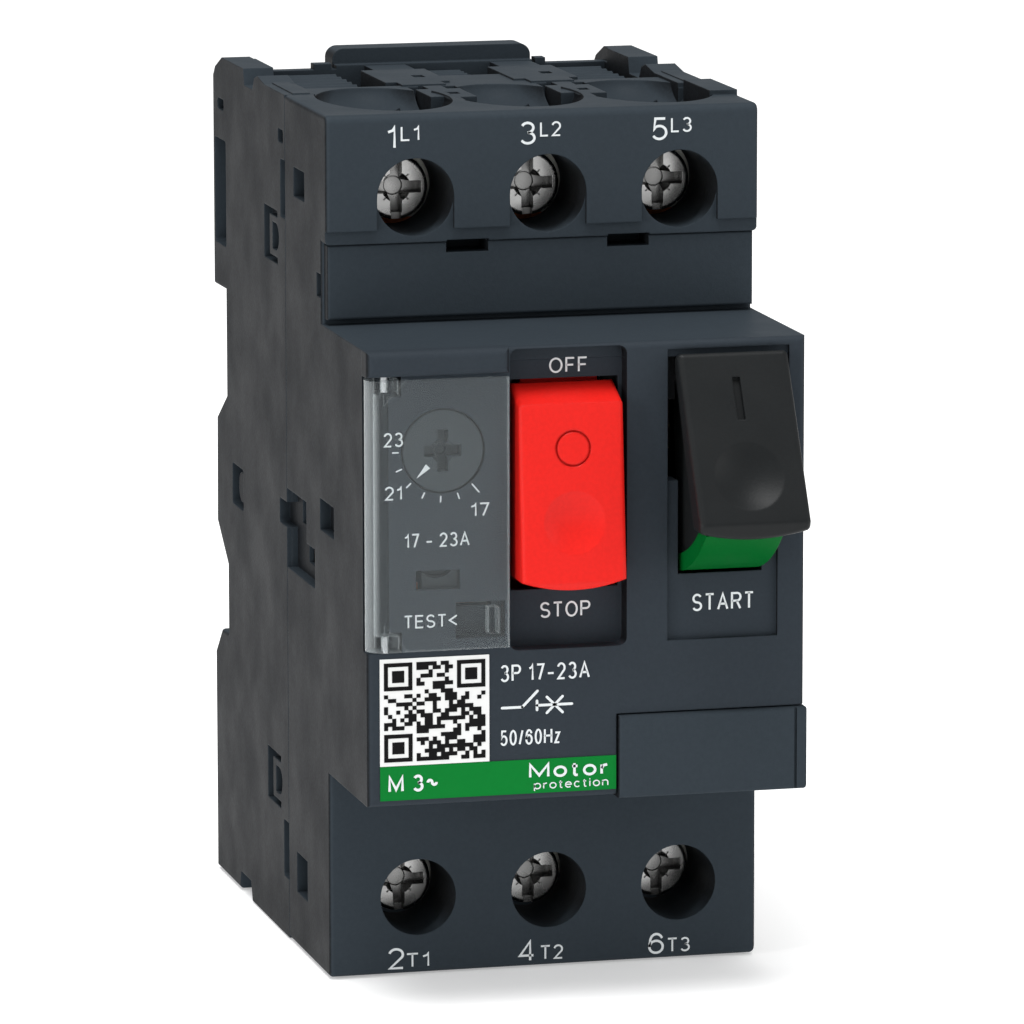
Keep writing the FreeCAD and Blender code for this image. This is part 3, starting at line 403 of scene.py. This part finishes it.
# Each letter: its width beside a height of 1, then its strokes in a square from 0 to 1.
SMALL = 0.72
BOWL = [(0, 0), (0, 1), (0.6, 1)] + arc(0.6, 0.75, 0.4, 0.25, 75, -75) + [(0.6, 0.5), (0, 0.5)]
GLYPHS = {
    " ": (0.16, []),
    "0": (0.56, [ring(0.5, 0.5, 0.5, 0.5)]),
    "1": (0.34, [[(1, 0), (1, 1), (0.75, 0.84), (0, 0.76)]]),
    "2": (0.56, [arc(0.5, 0.71, 0.5, 0.29, 165, -30) + [(0.05, 0.0), (1, 0)]]),
    "3": (0.57, [arc(0.48, 0.76, 0.44, 0.24, 155, -90), arc(0.5, 0.26, 0.5, 0.26, 90, -155)]),
    "4": (0.6, [[(0.76, 0), (0.76, 1), (0, 0.26), (1, 0.26)]]),
    "5": (0.57, [[(0.92, 1), (0.18, 1), (0.08, 0.47)] + arc(0.48, 0.32, 0.52, 0.32, 125, -150)]),
    "6": (0.57, [arc(0.52, 0.6, 0.47, 0.4, 25, 165) + [(0, 0.32)], ring(0.5, 0.32, 0.5, 0.32)]),
    "7": (0.55, [[(0, 1), (1, 1), (0.36, 0)]]),
    "A": (0.7, [[(0, 0), (0.5, 1), (1, 0)], [(0.2, 0.34), (0.8, 0.34)]]),
    "E": (0.6, [[(1, 1), (0, 1), (0, 0), (1, 0)], [(0, 0.53), (0.92, 0.53)]]),
    "F": (0.55, [[(1, 1), (0, 1), (0, 0)], [(0, 0.5), (0.88, 0.5)]]),
    "H": (0.66, [[(0, 0), (0, 1)], [(1, 0), (1, 1)], [(0, 0.53), (1, 0.53)]]),
    "L": (0.52, [[(0, 1), (0, 0), (1, 0)]]),
    "M": (0.82, [[(0, 0), (0, 1), (0.5, 0.12), (1, 1), (1, 0)]]),
    "O": (0.76, [ring(0.5, 0.5, 0.5, 0.5)]),
    "P": (0.62, [BOWL]),
    "R": (0.66, [BOWL, [(0.55, 0.5), (0.97, 0)]]),
    "S": (0.62, [arc(0.5, 0.75, 0.47, 0.25, 25, 270) + arc(0.5, 0.25, 0.5, 0.25, 75, -155)]),
    "T": (0.62, [[(0, 1), (1, 1)], [(0.5, 1), (0.5, 0)]]),
    "c": (0.5, [arc(0.5, 0.36, 0.5, 0.36, 45, 315)]),
    "e": (0.52, [[(0.05, 0.38), (1, 0.38)] + arc(0.5, 0.36, 0.5, 0.36, 15, 315)]),
    "i": (0.14, [[(0.5, 0), (0.5, SMALL)], [(0.5, 0.9), (0.5, 1.04)]]),
    "n": (0.48, [[(0, 0), (0, SMALL)], [(0, 0.42)] + arc(0.5, 0.44, 0.5, 0.28, 150, 0) + [(1, 0)]]),
    "o": (0.54, [ring(0.5, 0.36, 0.5, 0.36)]),
    "p": (0.54, [[(0, -0.28), (0, SMALL)], ring(0.5, 0.36, 0.5, 0.36)]),
    "r": (0.32, [[(0, 0), (0, SMALL)], [(0, 0.42), (0.35, 0.66), (1, SMALL)]]),
    "t": (0.32, [[(0.4, 0.95), (0.4, 0.1), (0.6, 0), (1, 0)], [(0, SMALL), (0.95, SMALL)]]),
    "z": (0.46, [[(0, SMALL), (1, SMALL), (0, 0), (1, 0)]]),
    "-": (0.5, [[(0, 0.38), (1, 0.38)]]),
    "/": (0.36, [[(0, 0), (1, 1)]]),
    "<": (0.6, [[(1, 0.9), (0, 0.5), (1, 0.1)]]),
    "~": (0.6, [arc(0.25, 0.5, 0.25, 0.16, 180, 0) + arc(0.75, 0.5, 0.25, 0.16, 180, 360)[1:]]),
}


class Print:
    """Flat marks on planes that face the operator, gathered into one piece."""

    def __init__(self):
        self.verts = []
        self.faces = []

    def slab(self, outline, y):
        """A thin slab whose outline is (x, z) points and whose back lies on the plane y."""
        start = len(self.verts)
        count = len(outline)
        for depth in (y - INK_GAP - INK, y - INK_GAP):
            self.verts += [in_row(x, depth, z) for x, z in outline]
        self.faces.append(list(range(start, start + count)))
        self.faces.append(list(range(start + 2 * count - 1, start + count - 1, -1)))
        for i in range(count):
            j = (i + 1) % count
            self.faces.append([start + j, start + i, start + count + i, start + count + j])

    def bar(self, first, last, width, y):
        """A straight stroke from first to last, with rounded ends."""
        along = Vector(last) - Vector(first)
        heading = math.atan2(along.y, along.x)
        outline = []
        steps = 5
        for end, turn in ((last, -90), (first, 90)):
            for step in range(steps + 1):
                angle = heading + math.radians(turn + 180 * step / steps)
                reach = width / 2
                outline.append((end[0] + reach * math.cos(angle), end[1] + reach * math.sin(angle)))
        self.slab(outline, y)

    def stroke(self, points, width, y):
        """A ribbon of even width along points; it closes up when the last point is the first."""
        closed = points[0] == points[-1]
        path = [Vector(point) for point in (points[:-1] if closed else points)]
        count = len(path)
        start = len(self.verts)
        for depth in (y - INK_GAP - INK, y - INK_GAP):
            for i, here in enumerate(path):
                before = path[i - 1] if closed or i else here * 2 - path[1]
                after = path[(i + 1) % count] if closed or i < count - 1 else here * 2 - path[i - 1]
                ahead = (after - here).normalized()
                turn = ((here - before).normalized() + ahead).normalized()
                across = Vector((-turn.y, turn.x)) * width / 2 / max(0.5, turn.dot(ahead))
                self.verts += [in_row(here.x + across.x, depth, here.y + across.y),
                               in_row(here.x - across.x, depth, here.y - across.y)]
        back = 2 * count
        for i in range(count if closed else count - 1):
            a, b = start + 2 * i, start + 2 * ((i + 1) % count)
            self.faces += [[a, b, b + 1, a + 1], [a + back + 1, b + back + 1, b + back, a + back],
                           [a, a + back, b + back, b], [a + 1, b + 1, b + back + 1, a + back + 1]]
        if not closed:
            end = start + back - 2
            self.faces += [[start, start + 1, start + back + 1, start + back],
                           [end + 1, end, end + back, end + back + 1]]

    def word(self, text, left, bottom, height, width, y, weight=0.12):
        """Text of even strokes on the plane y: left end, bottom line, capital height, whole width.

        Weight is the stroke's width as a share of the height.
        """
        pen = height * weight
        gap = 0.16
        natural = sum(GLYPHS[letter][0] for letter in text) + gap * (len(text) - 1)
        across = width / natural
        for letter in text:
            share, strokes = GLYPHS[letter]
            wide = share * across
            for points in strokes:
                placed = [(left + pen / 2 + u * (wide - pen), bottom + pen / 2 + v * (height - pen))
                          for u, v in points]
                self.stroke(placed, pen, y)
            left += wide + gap * across

    def piece(self, name, material, body="case", slot="label_white"):
        mesh_piece(name, self.verts, self.faces, material, body)


def terminal_marks():
    """Terminal numbers: a large figure with a small letter and figure beside it."""
    marks = Print()
    y = TERMINAL_FACE
    thin = 0.11
    line_left = (-1.52, -0.86, -0.94)
    load_left = (-1.3, -0.93, -1.17)
    for pole, x in enumerate(POLES):
        line_number, load_number = str(1 + 2 * pole), str(2 + 2 * pole)
        marks.word(line_number, x - 2.93, 83.95, 2.3, 1.62 if pole else 0.9, y, thin)
        marks.word("L%d" % (pole + 1), x + line_left[pole], 84.7, 1.5, 2.15 if pole else 1.9, y)
        marks.word(load_number, x - 3.16, 0.55, 2.2, 1.65, y, thin)
        marks.word("T%d" % (pole + 1), x + load_left[pole], 0.65, 1.5, 2.4, y)
    marks.piece("terminal_marks", WHITE_INK)


def control_words():
    """Words by the two buttons, and the current range and test word under the window."""
    words = Print()
    words.word("OFF", 18.88, 63.27, 1.53, 3.9, STOP_PAN)
    words.word("STOP", 17.95, 38.88, 1.58, 5.12, STOP_PAN)
    words.word("START", 33.07, 39.12, 1.75, 6.35, START_PAN)
    words.word("17 - 23A", 3.73, 46.84, 1.42, 6.58, FASCIA)
    words.word("TEST<", 3.66, 38.84, 1.32, 5.4, FASCIA)
    words.piece("control_words", WHITE_INK)


def dial_scale():
    """Tick marks round the dial, from 17 at the lower right to 23 at the left."""
    scale = Print()
    first, last, ticks = 310.5, 180.0, 7
    inner, long_tick, short_tick, pen = 4.45, 1.15, 0.65, 0.13
    for tick in range(ticks):
        angle = math.radians(first + (last - first) * tick / (ticks - 1))
        ends = []
        for radius in (inner, inner + (short_tick if tick else long_tick)):
            ends.append((DIAL[0] + radius * math.cos(angle), DIAL[1] + radius * math.sin(angle)))
        scale.stroke(ends, pen, FASCIA)
    scale.word("23", 1.7, 56.92, 1.42, 1.94, FASCIA)
    scale.word("21", 1.79, 51.66, 1.37, 1.72, FASCIA)
    scale.word("17", 10.4, 49.7, 1.36, 1.88, FASCIA)
    scale.piece("dial_scale", WHITE_INK)


def dial_pointer():
    """White wedge pressed into the dial, pointing down and to the left."""
    pointer = Print()
    angle = math.radians(225)
    out = Vector((math.cos(angle), math.sin(angle)))
    across = Vector((-out.y, out.x))
    tip, root, half_width = 3.75, 2.1, 0.3
    heel = Vector(DIAL) + out * root
    outline = [Vector(DIAL) + out * tip, heel + across * half_width, heel - across * half_width]
    pointer.slab([tuple(point) for point in outline], DIAL_LOW.y)
    pointer.piece("dial_pointer", WHITE_INK, body="dial")


def rating_marks():
    """Generic rating words and the circuit symbol of a switch with overcurrent release."""
    marks = Print()
    y = FASCIA
    marks.word("3P 17-23A", 13.38, 33.05, 1.7, 9.1, y)
    marks.word("50/60Hz", 13.36, 26.65, 1.55, 6.1, y)
    stroke = 0.26
    level = 30.55
    marks.bar((13.55, level - 0.1), (15.6, level - 0.1), stroke, y)
    marks.bar((15.6, level - 0.1), (17.15, level + 1.45), stroke, y)
    marks.bar((17.1, level - 0.45), (17.1, level + 0.45), stroke, y)
    marks.bar((17.1, level), (20.65, level), stroke, y)
    for slope in (-1, 1):
        marks.bar((18.1, level - 0.8 * slope), (19.7, level + 0.8 * slope), stroke, y)
    marks.piece("rating_marks", WHITE_INK)


def code_pattern():
    """A square of scattered modules that stands for a printed code and says nothing."""
    low, high = [in_case(corner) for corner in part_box("code_label")]
    count = 25
    border = 0.4
    step = (high.x - low.x - 2 * border) / count
    rise = (high.z - low.z - 2 * border) / count
    chance = random.Random(7)
    dark = [[chance.random() < 0.5 for _ in range(count)] for _ in range(count)]
    # Three corners hold an eye: a dark frame, a light ring and a dark square of three modules.
    eye = 7
    middle = eye // 2
    for top, left in ((0, 0), (0, count - eye), (count - eye, 0)):
        for row in range(-1, eye + 1):
            for column in range(-1, eye + 1):
                if 0 <= top + row < count and 0 <= left + column < count:
                    away = max(abs(row - middle), abs(column - middle))
                    dark[top + row][left + column] = away in (3, 1, 0)
    pattern = Print()
    for row in range(count):
        column = 0
        while column < count:
            run = 0
            while column + run < count and dark[row][column + run]:
                run += 1
            if run:
                x = low.x + border + column * step
                z = high.z - border - (row + 1) * rise
                end = x + run * step
                pattern.slab([(x, z), (end, z), (end, z + rise), (x, z + rise)], low.y)
            column += run + 1
    pattern.piece("code_pattern", BLACK_INK)


def band_words():
    """Generic words on the green band: the load's kind at the left, the device's at the right."""
    low, high = [in_case(corner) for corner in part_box("band_label")]
    words = Print()
    words.word("M 3~", low.x + 0.8, low.z + 0.8, 1.7, 5.0, low.y, 0.16)
    words.word("Motor", high.x - 8.9, low.z + 1.5, 1.5, 8.1, low.y, 0.17)
    words.word("protection", high.x - 8.4, low.z + 0.38, 0.85, 7.6, low.y, 0.13)
    words.piece("band_words", WHITE_INK)


terminal_marks()
control_words()
dial_scale()
dial_pointer()
rating_marks()
code_pattern()
band_words()


# Stage, light and camera

def paper(name, colour):
    """Matt studio ground that glows a little, so that it stays pale in the shade."""
    graph = Graph(name)
    tone = graph.mix(graph.noise(3, 2), shaded(colour, 0.99), shaded(colour, 1.01))
    graph.link(tone, graph.shader.inputs["Base Color"])
    graph.shader.inputs["Roughness"].default_value = 0.8
    graph.shader.inputs["Specular IOR Level"].default_value = 0.1
    graph.link(tone, graph.shader.inputs["Emission Color"])
    graph.shader.inputs["Emission Strength"].default_value = 0.4
    return graph.material


def make_floor():
    """A wide ground just below the device, out to reach metres each way."""
    reach = 12.0
    ground = CAD_LOW.z - 0.2 * MM
    mesh = bpy.data.meshes.new("floor")
    corners = [(-reach, -reach), (reach, -reach), (reach, reach), (-reach, reach)]
    mesh.from_pydata([(x, y, ground) for x, y in corners], [], [(0, 1, 2, 3)])
    floor = bpy.data.objects.new("floor", mesh)
    bpy.context.scene.collection.objects.link(floor)
    mesh.materials.append(paper("floor_white", (0.86, 0.86, 0.86, 1.0)))


def area_light(name, place, size, power):
    """A soft box at place, in metres, turned to the device."""
    data = bpy.data.lights.new(name, "AREA")
    data.shape = "RECTANGLE"
    data.size = size[0]
    data.size_y = size[1]
    data.energy = power
    lamp = bpy.data.objects.new(name, data)
    bpy.context.scene.collection.objects.link(lamp)
    lamp.location = place
    aim = Vector((0.0, -0.03, 0.0))
    direction = aim - Vector(place)
    lamp.rotation_euler = direction.to_track_quat("-Z", "Y").to_euler()


def make_light():
    world = bpy.data.worlds.new("studio")
    world.use_nodes = True
    background = world.node_tree.nodes["Background"]
    background.inputs["Color"].default_value = (1.0, 1.0, 1.0, 1.0)
    background.inputs["Strength"].default_value = 0.5
    bpy.context.scene.world = world
    area_light("key", (-0.15, -0.3, 1.4), (0.9, 0.7), 20.0)
    area_light("left_strip", (-0.75, -0.35, 0.1), (0.1, 0.5), 2.8)
    area_light("right_fill", (0.9, -0.6, 0.3), (0.6, 0.6), 2.0)


def make_camera():
    """The camera stands left of and above the device, far off, and looks at the terminal face."""
    azimuth, elevation, roll = math.radians(14.202), math.radians(9.868), math.radians(-0.083)
    target = Vector((-3.292, -SEAT_TO_FACE, 2.041)) * MM
    distance = 768.34 * MM
    back = Vector((-math.sin(azimuth) * math.cos(elevation), -math.cos(azimuth) * math.cos(elevation),
                   math.sin(elevation)))
    right = (-back).cross(Vector((0, 0, 1))).normalized()
    up = right.cross(-back)
    turned_right = right * math.cos(roll) + up * math.sin(roll)
    turned_up = up * math.cos(roll) - right * math.sin(roll)
    data = bpy.data.cameras.new("camera")
    data.lens = 269.23
    data.sensor_width = 36.0
    data.clip_start = 0.05
    data.clip_end = 50.0
    camera = bpy.data.objects.new("camera", data)
    bpy.context.scene.collection.objects.link(camera)
    axes = Matrix((turned_right, turned_up, back)).transposed()
    camera.matrix_world = Matrix.Translation(target + back * distance) @ axes.to_4x4()
    bpy.context.scene.camera = camera


make_floor()
make_light()
make_camera()
bpy.context.scene.view_settings.view_transform = "Standard"
